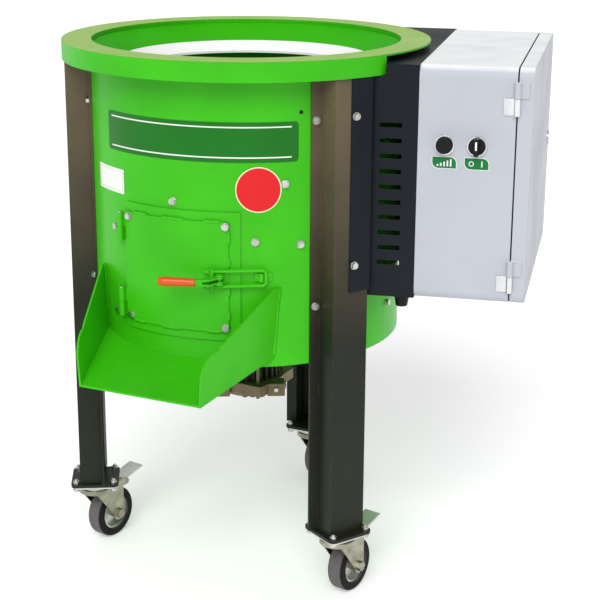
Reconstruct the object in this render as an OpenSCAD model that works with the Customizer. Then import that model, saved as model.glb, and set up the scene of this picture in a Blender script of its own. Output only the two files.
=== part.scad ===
// Walnut huller: a drum on three castered legs, with a spinning scrub disc under a hopper rim, a hinged
// discharge gate over a chute, and an electrical cabinet on a side box. Millimetres, +Z up, origin on the
// floor under the drum's axis, chute towards -Y.

/* [Drum] */
// Height of the rim's top above the floor
rim_z = 893; // [870:1:920]
// Outside diameter of the rim ring
rim_d = 600; // [590:1:620]
// Thickness of the rim's plate and skirt
rim_t = 3; // [2:0.5:4]
// Depth of the rim's outer skirt
rim_skirt = 30.5; // [20:0.5:40]
// Outside diameter of the drum
drum_d = 512; // [504:1:516]
// Thickness of the drum's sheet
drum_wall = 3; // [2:0.5:3.5]
// Height from the drum's lower edge to the rim's top
drum_h = 482; // [470:1:495]
// Diameter of the white throat ring's mouth
throat_d = 364; // [340:1:380]
// Depth of the splash cone's inner edge below the rim
cone_depth = 32; // [26:1:38]
// Depth of the throat ring's lower edge below the rim
throat_depth = 47; // [44:1:60]

/* [Gate] */
// Height of the gate's middle above the drum's lower edge
gate_rise = 146.5; // [142:0.5:150]
// Height of the gate
gate_h = 175; // [160:1:182]
// Thickness of the gate's sheet
gate_t = 3; // [2:0.5:4]
// Width of the frame seen above and below the gate
frame_margin = 14.5; // [10:0.5:18]
// Thickness of the raised gate frame
frame_t = 3; // [2.5:0.5:4]
// Outside diameter of the gate's hinge barrels
barrel_d = 10; // [9:0.5:11]
// Diameter of the hinge pins
hinge_pin_d = 5; // [4:0.5:6]
// Length of one hinge, both knuckles
hinge_len = 45; // [36:1:52]

/* [Latch] */
// Height of the latch's middle above the gate's middle
latch_rise = 0.5; // [0:0.5:6]
// Distance between the U-bolt's two rods
rod_gap = 24; // [23.5:0.5:26]
// Diameter of the U-bolt's rod
rod_d = 5; // [4:0.5:5]
// Diameter of the lever's pivot pin
lever_pin_d = 5; // [4:0.5:6]
// Length of the lever's grip
grip_len = 57; // [50:1:65]
// Diameter of the lever's grip
grip_d = 14.5; // [12:0.5:16]

/* [Chute] */
// Distance from the drum's axis to the chute's lip
lip_y = 364; // [345:1:380]
// Drop of the chute's lip below the drum's lower edge
lip_drop = 23; // [15:1:31]
// Width of the chute at its lip
lip_w = 207; // [190:1:226]
// Width of the chute where its cheeks meet the drum
chute_w = 291; // [280:1:310]
// Height of the chute's floor at the drum's front, above the drum's lower edge
chute_floor_rise = 7; // [3:1:15]
// Height of the cheeks' tops at the drum, above the drum's lower edge
cheek_rise = 129; // [114:1:130]
// Height of the cheeks at the lip
cheek_lip_h = 83; // [70:1:90]
// Thickness of the chute's sheet
chute_t = 3; // [2:0.5:4]

/* [Stand] */
// Tangential width of a leg
leg_w = 65; // [60:1:66]
// Radial depth of a leg
leg_d = 38.5; // [34:0.5:38.5]
// Thickness of the legs' sheet
leg_t = 4; // [3:0.5:5]
// Side of the square foot plates
foot_side = 82; // [79:1:90]
// Thickness of the foot plates
foot_t = 5; // [4:0.5:8]

/* [Casters] */
// Height of a caster with its top plate
caster_h = 118; // [116:1:124]
// Diameter of a caster's wheel
wheel_d = 90; // [86:1:92]
// Width of a caster's tyre
tyre_w = 28; // [24:1:30]
// Distance of a wheel's axle behind its king pin
trail = 35; // [32:1:38]
// Diameter of a wheel's axle
axle_d = 10; // [8:0.5:12]
// Diameter of a caster's king pin
king_d = 12; // [10:0.5:14]

/* [Drive] */
// Diameter of the motor's body over its fins
motor_d = 112; // [104:1:120]
// Reach of the motor below the drum's lower edge
motor_drop = 132; // [124:1:140]
// Diameter of the drive shaft
shaft_d = 24; // [18:1:28]
// Diameter of the rotor disc
rotor_d = 492; // [460:1:496]
// Height of the scrub ribs above the disc
rib_h = 14; // [8:1:18]

/* [Cabinet] */
// Distance from the drum's axis to the cabinet's back
cab_u = 309; // [304:1:330]
// Depth of the cabinet's body
cab_d = 146; // [130:1:160]
// Depth of the cabinet's door
door_d = 22; // [20:1:30]
// Distance of the cabinet's front face from the drum's axis
cab_front = 166; // [160:1:172]
// Distance of the cabinet's rear face from the drum's axis
cab_rear = 300; // [296:1:320]
// Height of the cabinet
cab_h = 363; // [340:1:376]
// Drop of the cabinet's top below the rim
cab_drop = 12.5; // [10:0.5:16]
// Thickness of the cabinet's sheet
cab_t = 1.5; // [1:0.5:2]
// Thickness of the support box's sheet
box_t = 2; // [1.5:0.5:3]
// Radius of the cabinet's folded edges
cab_r = 16; // [12:1:20]
// Diameter of the bezels round the controls
bezel_d = 30; // [28:1:34]

/* [Hidden] */
$fn = 64;
// Sides of the large cylinders that small pieces are cut to fit
fine = 360;
// Clearance between a pin and its running bore, on the radius
run = 0.05;
// Clearance between two pieces that are seated or welded
seat = 0.05;
// Clearance between a piece and the curved sheet that it is welded to
weld = 0.2;
// Clearance between pieces that move past each other
pass = 0.3;
// Overrun of every cut
over = 1;

// Places round the drum, as angles from +X
full_turn = 360;
hinge_a = 251;
gate_a0 = 252.7;
gate_a1 = 293;
frame_a0 = 252.5;
frame_a1 = 297;
window_a0 = 257.5;
window_a1 = 290.5;
window_play_a = 0.4;
gate_bolt_as = [254.9, 292];
latch_a = 290.4;
catch_a = 305.5;
leg_as = [212, 332, 92];
cab_a = 15;
skirt_cut_a0 = -16.1;
skirt_cut_a1 = 86.5;
chute_a = 2.3;
scrub_bar_as = [245.5, 302, 2, 62, 122, 182];
caster_a = 82;

// Drum
rim_r = rim_d / 2;
drum_r = drum_d / 2;
bore_r = drum_r - drum_wall;
rim_step = 1;
rim_bore_r = bore_r - rim_step;
drum_z0 = rim_z - drum_h;
drum_z1 = rim_z - rim_t;
throat_r = throat_d / 2;
cone_r = throat_r + (throat_depth - cone_depth) * 1.6;
cone_lip = 8;
cone_t = 2;
throat_t = 4;
floor_t = 4;
floor_z = drum_z0 + 4 * floor_t;
shaft_play = 1;

// Fasteners
bolt_d = 6;
bolt_hole_r = bolt_d / 2 + 2 * run;
head_r = bolt_d * 0.94;
head_h = bolt_d * 0.66;
washer_r = bolt_d * 1.05;
washer_t = bolt_d * 0.2;
nut_h = bolt_d * 0.8;
thread_stub = bolt_d * 0.5;

// Scrub bars
bar_w = 16;
bar_t = 10;
bar_lift = 35;
bar_z0 = floor_z + bar_lift;
bar_h = 185;
bar_x = sqrt(pow(bore_r, 2) - pow(bar_w / 2, 2)) - weld;
bar_bolt_low = 12;
bar_bolt_high = 151;

// Wall bolts that stand alone: angle, then height as a share of the drum's height
wall_bolt_shares = [[273.1, 0.54], [317.8, 0.405], [312.3, 0.604]];
wall_nut_x = sqrt(pow(bore_r, 2) - pow(washer_r, 2)) - weld;

// Gate
frame_r = drum_r + frame_t;
gate_r0 = frame_r + pass;
gate_r = gate_r0 + gate_t;
gate_z = drum_z0 + gate_rise;
gate_z0 = gate_z - gate_h / 2;
gate_z1 = gate_z + gate_h / 2;
window_inset = 8;
window_play = 1.5;
window_z0 = gate_z0 + window_inset;
window_z1 = gate_z1 - window_inset;
barrel_r = barrel_d / 2;
hinge_pin_r = hinge_pin_d / 2;
hinge_r = gate_r + barrel_r - pass;
hinge_inset = 26;
hinge_zs = [gate_z0 + hinge_inset, gate_z1 - hinge_inset];
leaf_t = 6;
leaf_len = 10;
gate_bolt_inset = 7;
gate_nut_h = frame_t * 0.7;
gate_nut_play = 1;
gate_bolt_zs = [gate_z0 + gate_bolt_inset, gate_z1 - gate_bolt_inset];

// Latch, in a frame turned to latch_a: x outwards from the drum's axis, y round the drum, z from latch_z
latch_z = gate_z + latch_rise;
lever_pin_r = lever_pin_d / 2;
rod_r = rod_d / 2;
pivot_rise = 13.7;
pivot_x = gate_r + pivot_rise;
trunnion_back = 12;
trunnion_dip = 1.5;
trunnion_r = 4;
trunnion_x = pivot_x - trunnion_dip;
trunnion_y = -trunnion_back;
trunnion_len = rod_gap + 2 * trunnion_r;
bar_rise = 9;
catch_bar_r = drum_r + bar_rise;
catch_bar_x = catch_bar_r * cos(catch_a - latch_a);
catch_bar_y = catch_bar_r * sin(catch_a - latch_a);
rod_dx = catch_bar_x - trunnion_x;
rod_dy = catch_bar_y - trunnion_y;
rod_len = norm([rod_dx, rod_dy]);
rod_a = atan2(rod_dy, rod_dx);
rod_tail = 13;
rod_corner_r = 6;
rod_nut_r = rod_d * 0.92;
rod_nut_h = rod_d * 0.8;
ear_in = 5.5;
ear_t = 2.5;
ear_r = 6.3;
base_t = 3;
base_half = 15;
base_front = 9;
base_back = 16;
pin_head_r = lever_pin_r * 1.5;
pin_head_h = lever_pin_r * 0.4;
cheek_in = 2.6;
cheek_out = 5.2;
tang_r = 3.5;
tang_y = -26;
tang_rise = 18;
tang_x = pivot_x + tang_rise;
grip_start = -34;
lug_gap = 1.8;
lug_t = 6;
lug_h = 13;
catch_plate_t = 3;
catch_plate_front = 10;

// Chute
lip_z = drum_z0 - lip_drop;
chute_floor_z = drum_z0 + chute_floor_rise;
cheek_top_z = drum_z0 + cheek_rise;
chute_half = chute_w / 2;
lip_half = lip_w / 2;
chute_y = sqrt(pow(drum_r, 2) - pow(chute_half, 2));
cheek_len = norm([chute_half - lip_half, lip_y - chute_y]);
cheek_a = atan2(chute_half - lip_half, lip_y - chute_y);
floor_slope = (chute_floor_z - lip_z) / (lip_y - drum_r);
floor_a = atan(floor_slope);
cheek_low_z = lip_z + floor_slope * (lip_y - chute_y);
cheek_round = 40;
cheek_root = 24;
cheek_flare = 3.4;
flare_x = (cheek_low_z - lip_z) * sin(cheek_flare) + chute_t / 2;

// Stand
leg_x = drum_r + weld;
leg_xc = leg_x + leg_d / 2;
foot_in = 5.5;
foot_x = leg_xc - foot_in;
foot_z = caster_h;
leg_z = foot_z + foot_t;
foot_round = 10;
foot_bolt = 32;
leg_bolt_rises = [94, 386];
leg_flange_w = 15;
leg_bolt_a = asin((leg_w + leg_flange_w) / 2 / leg_x);
flange_x = leg_x + leg_t;
flange_s0 = (leg_w / 2 - leg_t - leg_x * sin(leg_bolt_a)) / cos(leg_bolt_a);
flange_s1 = (leg_w / 2 - flange_x * sin(leg_bolt_a)) / cos(leg_bolt_a);

// Casters
plate_t = 3.5;
plate_x = 79;
plate_y = 78;
plate_round = 12;
race_r = 27;
race_h = 9;
crown_r = 30;
crown_h = 8;
wheel_r = wheel_d / 2;
rim_seat_r = wheel_r * 0.68;
rim_lip = 3;
hub_r = 10;
hub_proud = 4;
hub_half = tyre_w / 2 + hub_proud;
fork_in = hub_half + pass;
fork_t = 2.5;
fork_out = fork_in + fork_t;
fork_boss = 13;
axle_r = axle_d / 2;
king_r = king_d / 2;
crown_z1 = caster_h - plate_t - race_h - pass;
crown_z0 = crown_z1 - crown_h;
king_head_h = 3;
king_head_r = king_r * 1.7;
axle_head_r = axle_d * 0.85;
axle_head_h = axle_d * 0.6;
pedal_x = 58;
pedal_lift = 1;
pedal_z = crown_z0 + pedal_lift;
pedal_pin_r = 3;
pedal_barrel_r = 5.5;
pedal_len = 50;
pedal_t = 3;
pedal_a = 12;
shoe_t = 6;
tyre_round = 5;
dish_t = 3;

// Drive
motor_z = drum_z0 - motor_drop;
shaft_r = shaft_d / 2;
motor_r = motor_d / 2;
fin_h = 8;
fin_t = 4;
fin_count = 28;
flange_t = 12;
flange_w = 26;
flange_r = motor_r + flange_w;
bell_h = 34;
bell_w = 8;
bell_r = motor_r + bell_w;
tie_r = 3;
tie_ring = motor_r + 1.5 * tie_r;
tie_nut_h = tie_r * 1.6;
tie_as = [45, 135, 225, 315];
motor_bolt_r = 4;
motor_bolt_ring = flange_r - 3 * motor_bolt_r;
motor_bolt_as = [0, 90, 180, 270];
shaft_gap = 18;
hub_lift = 5;
hub_z = floor_z + floor_t + hub_lift;
hub_h = 10;
rotor_hub_w = 20;
rotor_hub_r = shaft_r + rotor_hub_w;
disc_t = 6;
disc_z = hub_z + hub_h;
rotor_r = rotor_d / 2;
rib_w = 12;
rib_count = 6;
rib_in = 20;
rib_r0 = rotor_hub_r + rib_in;
rib_out = 22;
rib_r1 = rotor_r - rib_out;
hub_nut_h = 12;
shaft_top = disc_z + disc_t + hub_nut_h;

// Cabinet, in a frame turned to cab_a: x outwards (u), y round the drum (w)
cab_z1 = rim_z - cab_drop;
cab_z0 = cab_z1 - cab_h;
cab_w = cab_front + cab_rear;
cab_wc = (cab_rear - cab_front) / 2;
cab_zc = (cab_z0 + cab_z1) / 2;
cab_u1 = cab_u + cab_d;
lip_in = 14;
gasket_t = 2;
gasket_w = 12;
door_u = cab_u1 + gasket_t + pass;
door_u1 = door_u + door_d;
front_leg_a = leg_as[1] + 90 - cab_a;
rear_leg_a = leg_as[2] - 90 - cab_a;
box_u_front = (leg_w / 2 + pass + cab_front * sin(front_leg_a)) / cos(front_leg_a);
box_u_rear = (leg_w / 2 + pass - cab_rear * sin(rear_leg_a)) / cos(rear_leg_a);
box_flange = 24;
box_drum_gap = 6;
box_bolt_shares = [0.208, 0.8463];
box_bolt_drops = box_bolt_shares * cab_h;
notch_u = rim_r * cos(skirt_cut_a0 - cab_a) + box_t;
notch_w = rim_r * sin(skirt_cut_a0 - cab_a) + box_t;
box_bolt_t = 4;
lap_t = -3.5;
lap_rise = 13;
lap_x = leg_x + leg_d + seat;
lap_z0 = cab_z0 + lap_rise;
lap_z1 = rim_z - rim_skirt - pass;
lap_edge = leg_w / 2 + pass;
lap_root = box_u_front * cos(leg_as[1] - cab_a) - cab_front * sin(leg_as[1] - cab_a) - 2 * box_t;
rear_flange_in = 14;
rear_flange_x0 = leg_x + rear_flange_in;
rear_flange_x1 = box_u_rear * cos(rear_leg_a + 90) + cab_rear * sin(rear_leg_a + 90) - box_t / 2;
rear_bolt_out = 4;
rear_bolt_x = leg_xc + rear_bolt_out;
slot_w = 34;
slot_h = 7;
slot_step = cab_h * 0.066;
slot_count = 10;
slot_drop = cab_h * 0.2645;
slot_u = (box_u_front + cab_u) / 2;

// Cabinet hinges and lock
cab_hinge_r = 5;
cab_hinge_pin_r = 2.5;
cab_hinge_u = cab_u1 + gasket_t / 2;
cab_hinge_w = -cab_front - cab_hinge_r - run;
cab_hinge_len = 50;
cab_hinge_inset = 45;
cab_leaf_t = 2;
cab_leaf_u = 20;
cab_hinge_zs = [cab_z0 + cab_hinge_inset, cab_z1 - cab_hinge_inset];
lock_in = 32;
lock_w = cab_rear - lock_in;
lock_r = 9;
lock_head_r = 12;
lock_head_h = 3;
lock_slot_w = 2.5;
lock_slot_d = 1.5;
cam_len = 22;
cam_w = 12;
cam_t = 3;

// Cabinet contents
plate_inset = 24;
back_plate_t = 2;
back_plate_u = cab_u + cab_t + seat;
drive_w = 130;
drive_h = cab_h * 0.58;
drive_d = 80;
drive_fin = 4;
drive_fin_count = 9;
drive_wc = 60;
rail_h = 35;
rail_t = 7;
rail_len = 300;
rail_rise = cab_h * 0.15;
terminal_w = 10;
terminal_h = 42;
terminal_d = 32;
terminal_count = 16;

// Controls
knob_us = [350, 399];
control_drop = 131;
control_z = rim_z - control_drop;
bezel_r = bezel_d / 2;
bezel_h = 5;
neck_r = 11;
stem_r = 8;
stem_len = 10;
block_w = 30;
block_h = 40;
block_d = 36;
block_gap = 9;
knob_r = 11.5;
knob_h = 13;
knob_skirt_r = 13;
knob_skirt_h = 3;
knob_groove = 1.2;
knob_grooves = 18;
lever_w = 7;
lever_h = 11;

// Cable gland
gland_in_u = 22;
gland_in_w = 24;
gland_u = cab_u - gland_in_u;
gland_w = -cab_front + gland_in_w;
gland_thread_r = 10;
gland_hex_r = 14;
gland_hex_h = 6;
gland_dome_r = 11.5;
gland_dome_h = 14;
gland_bore_r = 5.5;
gland_nut_h = 5;

green = [0.27, 0.78, 0.16];
olive = [0.17, 0.18, 0.15];
slate = [0.14, 0.16, 0.19];
grey = [0.78, 0.79, 0.82];
zinc = [0.72, 0.72, 0.70];
black = [0.06, 0.06, 0.06];
orange = [0.92, 0.33, 0.15];

// Places children at an angle round the drum, with x pointing outwards
module polar(a, r, z) {
    rotate([0, 0, a]) translate([r, 0, z]) children();
}

// Turns a shape made along z so that it points outwards along x
module outwards() {
    rotate([0, 90, 0]) children();
}

// Places children in the cabinet's frame
module at_cabinet() {
    rotate([0, 0, cab_a]) children();
}

// Part of a tube between two angles and two heights
module arc_plate(r0, r1, a0, a1, z0, z1) {
    rotate([0, 0, a0])
        rotate_extrude(angle = a1 - a0) translate([r0, z0]) square([r1 - r0, z1 - z0]);
}

// Rectangle about its centre with rounded corners
module rounded_rect(x, y, r) {
    square([x - 2 * r, y], center = true);
    square([x, y - 2 * r], center = true);
    for (i = [-1, 1], j = [-1, 1])
        translate([i * (x / 2 - r), j * (y / 2 - r)]) circle(r);
}

// Bolt along z: head and washer above zero, and a shank of the given grip below it
module bolt(grip) {
    translate([0, 0, washer_t]) cylinder(r = head_r, h = head_h, $fn = 6);
    cylinder(r = washer_r, h = washer_t);
    translate([0, 0, -grip]) cylinder(d = bolt_d, h = grip + washer_t);
}

// Bolt with a nut run up to its grip and the end of its thread showing
module bolt_and_nut(grip) {
    bolt(grip + nut_h + thread_stub);
    translate([0, 0, -grip - nut_h]) cylinder(r = head_r, h = nut_h, $fn = 6);
}

// Hole for a bolt that lies along z, through everything within the given reach of zero
module bolt_hole(reach) {
    translate([0, 0, -reach]) cylinder(r = bolt_hole_r, h = 2 * reach);
}

// Every bolt through the drum's wall, pointing outwards: scrub bars, lone bolts and legs
module at_bar_bolts() {
    for (a = scrub_bar_as, rise = [bar_bolt_low, bar_bolt_high])
        polar(a, drum_r, bar_z0 + rise) outwards() children();
}

module at_wall_bolts() {
    for (p = wall_bolt_shares)
        polar(p[0], drum_r, drum_z0 + p[1] * drum_h) outwards() children();
}

// Leg bolts go through the two flanges of each leg
module at_leg_bolts(as) {
    for (a = as, s = [-1, 1], rise = leg_bolt_rises)
        polar(a + s * leg_bolt_a, flange_x, drum_z0 + rise) outwards() children();
}

module drum_shell() {
    color(green)
        difference() {
            arc_plate(bore_r, drum_r, 0, full_turn, drum_z0, drum_z1);
            arc_plate(bore_r - over, drum_r + over, window_a0, window_a1, window_z0, window_z1);
            at_bar_bolts() bolt_hole(2 * drum_wall);
            at_wall_bolts() bolt_hole(2 * drum_wall);
            at_leg_bolts(leg_as) bolt_hole(3 * leg_t);
        }
}

// Flat ring, and a skirt welded under its edge that stops on each side of the support box
module rim_ring() {
    color(green) {
        arc_plate(rim_bore_r, rim_r, 0, full_turn, rim_z - rim_t, rim_z);
        arc_plate(rim_r - rim_t, rim_r, skirt_cut_a1, full_turn + skirt_cut_a0,
            rim_z - rim_skirt, rim_z - rim_t - seat);
    }
}

module splash_cone() {
    color(green)
        rotate_extrude()
            polygon([
                [bore_r - weld, drum_z1 - seat],
                [bore_r - weld, rim_z - cone_lip - cone_t],
                [cone_r, rim_z - cone_depth - cone_t],
                [cone_r, rim_z - cone_depth],
                [bore_r - weld - cone_t, rim_z - cone_lip],
                [bore_r - weld - cone_t, drum_z1 - seat]
            ]);
}

module throat_ring() {
    color("white")
        rotate_extrude()
            polygon([
                [cone_r - weld, rim_z - cone_depth],
                [cone_r - weld, rim_z - cone_depth - throat_t],
                [throat_r, rim_z - throat_depth - throat_t],
                [throat_r, rim_z - throat_depth]
            ]);
}

module drum_floor() {
    color(green)
        difference() {
            translate([0, 0, floor_z]) cylinder(r = bore_r - weld, h = floor_t);
            translate([0, 0, floor_z - over]) cylinder(r = shaft_r + shaft_play, h = floor_t + 2 * over);
            for (a = motor_bolt_as)
                polar(a, motor_bolt_ring, floor_z) bolt_hole(2 * floor_t);
        }
}

module scrub_bars() {
    color(zinc)
        difference() {
            for (a = scrub_bar_as)
                polar(a, bar_x - bar_t, bar_z0)
                    translate([0, -bar_w / 2, 0]) cube([bar_t, bar_w, bar_h]);
            at_bar_bolts() bolt_hole(drum_wall + bar_t);
        }
}

module frame_bolts() {
    color(zinc) {
        at_bar_bolts() bolt(drum_wall + bar_t * 0.8);
        at_wall_bolts() bolt_and_nut(drum_r - wall_nut_x);
        at_leg_bolts(leg_as) bolt_and_nut(flange_x - wall_nut_x);
        at_foot_bolts() bolt_and_nut(foot_t + plate_t);
        at_front_box_bolts() bolt_and_nut(box_t + seat + leg_t);
        at_rear_box_bolts() bolt_and_nut(pass + box_t + leg_t);
        for (a = motor_bolt_as)
            polar(a, motor_bolt_ring, floor_z + floor_t) bolt_and_nut(floor_t + flange_t);
    }
}

module gate_frame() {
    color(green)
        difference() {
            arc_plate(drum_r + weld, frame_r, frame_a0, frame_a1,
                gate_z0 - frame_margin, gate_z1 + frame_margin);
            arc_plate(drum_r - over, frame_r + over, window_a0, window_a1, window_z0, window_z1);
            for (a = gate_bolt_as, z = gate_bolt_zs)
                polar(a, drum_r, z) outwards() cylinder(r = washer_r + gate_nut_play, h = 2 * frame_t);
        }
}

// One knuckle of a gate hinge with its web down to the radius that carries it
module knuckle(z, r) {
    polar(hinge_a, hinge_r, z) cylinder(r = barrel_r, h = hinge_len / 2 - pass / 2);
    polar(hinge_a, r, z)
        translate([0, -leaf_t / 2, 0]) cube([hinge_r - r, leaf_t, hinge_len / 2 - pass / 2]);
}

module hinge_bores() {
    for (z = hinge_zs)
        polar(hinge_a, hinge_r, z - hinge_len) cylinder(r = hinge_pin_r + run, h = 2 * hinge_len);
}

module hinge_brackets() {
    color(green)
        difference() {
            for (z = hinge_zs)
                knuckle(z - hinge_len / 2, drum_r - over);
            cylinder(r = drum_r + weld, h = rim_z, $fn = fine);
            hinge_bores();
        }
}

module hinge_pins() {
    color(zinc) {
        for (z = hinge_zs)
            polar(hinge_a, hinge_r, z - hinge_len / 2) {
                cylinder(r = hinge_pin_r, h = hinge_len + pass);
                translate([0, 0, hinge_len + pass]) cylinder(r = barrel_r * 0.8, h = barrel_r / 3);
            }
        at_cabinet()
            for (z = cab_hinge_zs)
                translate([cab_hinge_u, cab_hinge_w, z - cab_hinge_len / 2])
                    cylinder(r = cab_hinge_pin_r, h = cab_hinge_len);
    }
}

module discharge_gate() {
    color(green)
        difference() {
            union() {
                arc_plate(gate_r0, gate_r, gate_a0, gate_a1, gate_z0, gate_z1);
                for (z = hinge_zs) {
                    knuckle(z + pass / 2, gate_r0);
                    polar(hinge_a, gate_r0, z + pass / 2)
                        cube([gate_t, leaf_len, hinge_len / 2 - pass / 2]);
                }
            }
            hinge_bores();
            for (a = gate_bolt_as, z = gate_bolt_zs)
                polar(a, gate_r, z) outwards() bolt_hole(2 * gate_t);
        }
}

module gate_plug() {
    color(green)
        arc_plate(bore_r, gate_r0 - weld, window_a0 + window_play_a, window_a1 - window_play_a,
            window_z0 + window_play, window_z1 - window_play);
}

module gate_bolts() {
    color(zinc)
        for (a = gate_bolt_as, z = gate_bolt_zs)
            polar(a, gate_r + weld, z)
                outwards() {
                    bolt(gate_t + 2 * weld + gate_nut_h);
                    translate([0, 0, -gate_t - 2 * weld - gate_nut_h])
                        cylinder(r = head_r, h = gate_nut_h, $fn = 6);
                }
}

// Places children in the latch's frame
module at_latch() {
    rotate([0, 0, latch_a]) translate([0, 0, latch_z]) children();
}

module latch_base() {
    color(green)
        difference() {
            at_latch() {
                difference() {
                    union() {
                        translate([gate_r - base_t, -base_back, -base_half])
                            cube([2 * base_t, base_back + base_front, 2 * base_half]);
                        for (s = [-1, 1]) {
                            translate([pivot_x, 0, s * (ear_in + ear_t / 2) - ear_t / 2]) {
                                cylinder(r = ear_r, h = ear_t);
                                translate([gate_r - pivot_x, -ear_r, 0]) cube([pivot_rise, 2 * ear_r, ear_t]);
                            }
                        }
                    }
                    translate([pivot_x, 0, -base_half]) cylinder(r = lever_pin_r + run, h = 2 * base_half);
                }
            }
            cylinder(r = gate_r + weld, h = rim_z, $fn = fine);
        }
}

module latch_pivot_pin() {
    half = ear_in + ear_t + run;
    color(zinc)
        at_latch()
            translate([pivot_x, 0, 0]) {
                cylinder(r = lever_pin_r, h = 2 * half, center = true);
                for (s = [-1, 1])
                    translate([0, 0, s * (half + pin_head_h / 2)])
                        cylinder(r = pin_head_r, h = pin_head_h, center = true);
            }
}

module latch_lever() {
    color(green)
        at_latch() {
            difference() {
                union() {
                    for (s = [-1, 1])
                        translate([0, 0, s * (cheek_in + cheek_out) / 2])
                            linear_extrude(cheek_out - cheek_in, center = true) {
                                translate([pivot_x, 0]) circle(ear_r);
                                translate([trunnion_x, trunnion_y]) circle(ear_r);
                                polygon([
                                    [pivot_x - ear_r, 0], [trunnion_x - ear_r, trunnion_y],
                                    [tang_x - tang_r, tang_y], [tang_x + tang_r, tang_y],
                                    [tang_x + tang_r, trunnion_y], [pivot_x + ear_r, 0]
                                ]);
                            }
                    translate([tang_x - tang_r, tang_y - 2 * tang_r, -cheek_out])
                        cube([2 * tang_r, 3 * tang_r, 2 * cheek_out]);
                    translate([tang_x, tang_y, 0])
                        rotate([90, 0, 0]) cylinder(r = tang_r, h = grip_len - grip_start + tang_y - tang_r);
                }
                translate([pivot_x, 0, -base_half]) cylinder(r = lever_pin_r + run, h = 2 * base_half);
                translate([trunnion_x, trunnion_y, -base_half])
                    cylinder(r = trunnion_r + run, h = 2 * base_half);
            }
        }
}

module latch_grip() {
    color(orange)
        at_latch()
            translate([tang_x, grip_start, 0])
                rotate([90, 0, 0])
                    difference() {
                        union() {
                            cylinder(r1 = grip_d * 0.42, r2 = grip_d / 2, h = grip_len * 0.85);
                            translate([0, 0, grip_len * 0.85])
                                cylinder(r1 = grip_d / 2, r2 = grip_d * 0.4, h = grip_len * 0.15);
                        }
                        translate([0, 0, -over]) cylinder(r = tang_r + seat, h = grip_len - tang_r + over);
                    }
}

// Places children at the trunnion, with x along the U-bolt towards the catch
module at_ubolt() {
    at_latch() translate([trunnion_x, trunnion_y, 0]) rotate([0, 0, rod_a]) children();
}

module latch_ubolt() {
    color(zinc)
        at_ubolt() {
            for (s = [-1, 1])
                translate([0, 0, s * rod_gap / 2]) {
                    translate([-rod_tail, 0, 0])
                        outwards() cylinder(r = rod_r, h = rod_len - rod_corner_r + rod_tail);
                    translate([rod_len - rod_corner_r, 0, -s * rod_corner_r])
                        rotate([90, 0, 0]) rotate([0, 0, s > 0 ? 0 : -90])
                            rotate_extrude(angle = 90) translate([rod_corner_r, 0]) circle(rod_r);
                }
            translate([rod_len, 0, rod_corner_r - rod_gap / 2])
                cylinder(r = rod_r, h = rod_gap - 2 * rod_corner_r);
        }
}

module latch_trunnion() {
    color(zinc)
        at_ubolt()
            difference() {
                cylinder(r = trunnion_r, h = trunnion_len, center = true);
                for (s = [-1, 1])
                    translate([-2 * trunnion_r, 0, s * rod_gap / 2])
                        outwards() cylinder(r = rod_r + run, h = 4 * trunnion_r);
            }
}

module latch_nuts() {
    color(zinc)
        at_ubolt()
            for (s = [-1, 1])
                translate([-trunnion_r - rod_nut_h - seat, 0, s * rod_gap / 2])
                    outwards()
                        difference() {
                            cylinder(r = rod_nut_r, h = rod_nut_h, $fn = 6);
                            translate([0, 0, -over]) cylinder(r = rod_r + run, h = rod_nut_h + 2 * over);
                        }
}

module latch_catch() {
    lug_y = -rod_r - lug_gap - lug_t;
    color(green)
        difference() {
            polar(catch_a, 0, latch_z) {
                translate([drum_r - catch_plate_t, lug_y - lug_t, -lug_h / 2])
                    cube([2 * catch_plate_t, catch_plate_front + lug_t - lug_y, lug_h]);
                translate([drum_r - catch_plate_t, lug_y, -lug_h / 2])
                    cube([bar_rise + catch_plate_t, lug_t, lug_h]);
            }
            cylinder(r = drum_r + weld, h = rim_z, $fn = fine);
        }
}

// Cheek outline: x out from the drum along the cheek, y up from the lip's level
module cheek_outline() {
    top = cheek_top_z - lip_z;
    bottom = cheek_low_z - lip_z;
    difference() {
        polygon([
            [-cheek_root, bottom], [cheek_len, 0], [cheek_len, cheek_lip_h],
            [cheek_len - cheek_round, cheek_lip_h + chute_t], [0, top], [-cheek_root, top]
        ]);
        translate([cheek_len - cheek_round, cheek_lip_h - cheek_round])
            difference() {
                square(2 * cheek_round);
                circle(cheek_round);
            }
    }
}

// Sloping floor between two cheeks that lean outwards, cut to the drum
module discharge_chute() {
    lip_edge = lip_half + chute_t / 2;
    root_edge = chute_half + flare_x;
    color(green)
        rotate([0, 0, chute_a])
            difference() {
                union() {
                    intersection() {
                        translate([0, 0, lip_z - drum_r])
                            linear_extrude(2 * drum_r)
                                polygon([
                                    [-lip_edge, -lip_y], [lip_edge, -lip_y],
                                    [root_edge, -chute_y], [root_edge - cheek_root, 0],
                                    [cheek_root - root_edge, 0], [-root_edge, -chute_y]
                                ]);
                        translate([-drum_r, -lip_y, lip_z])
                            rotate([floor_a, 0, 0]) cube([2 * drum_r, 2 * drum_r, chute_t]);
                    }
                    for (s = [-1, 1])
                        translate([s * chute_half, -chute_y, lip_z])
                            rotate([0, 0, -90 - s * cheek_a])
                                rotate([-s * cheek_flare, 0, 0])
                                    translate([0, (1 - s) / 2 * -chute_t, 0])
                                        rotate([90, 0, 0])
                                            translate([0, 0, -chute_t])
                                                linear_extrude(chute_t) cheek_outline();
                }
                cylinder(r = drum_r + weld, h = rim_z, $fn = fine);
            }
}

// Point on a leg's flange: r from the drum's axis, s along the flange from its bolts, on the given side
function flange_point(r, s, side) = [
    r * cos(leg_bolt_a) - s * sin(leg_bolt_a),
    side * (r * sin(leg_bolt_a) + s * cos(leg_bolt_a))
];

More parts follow.
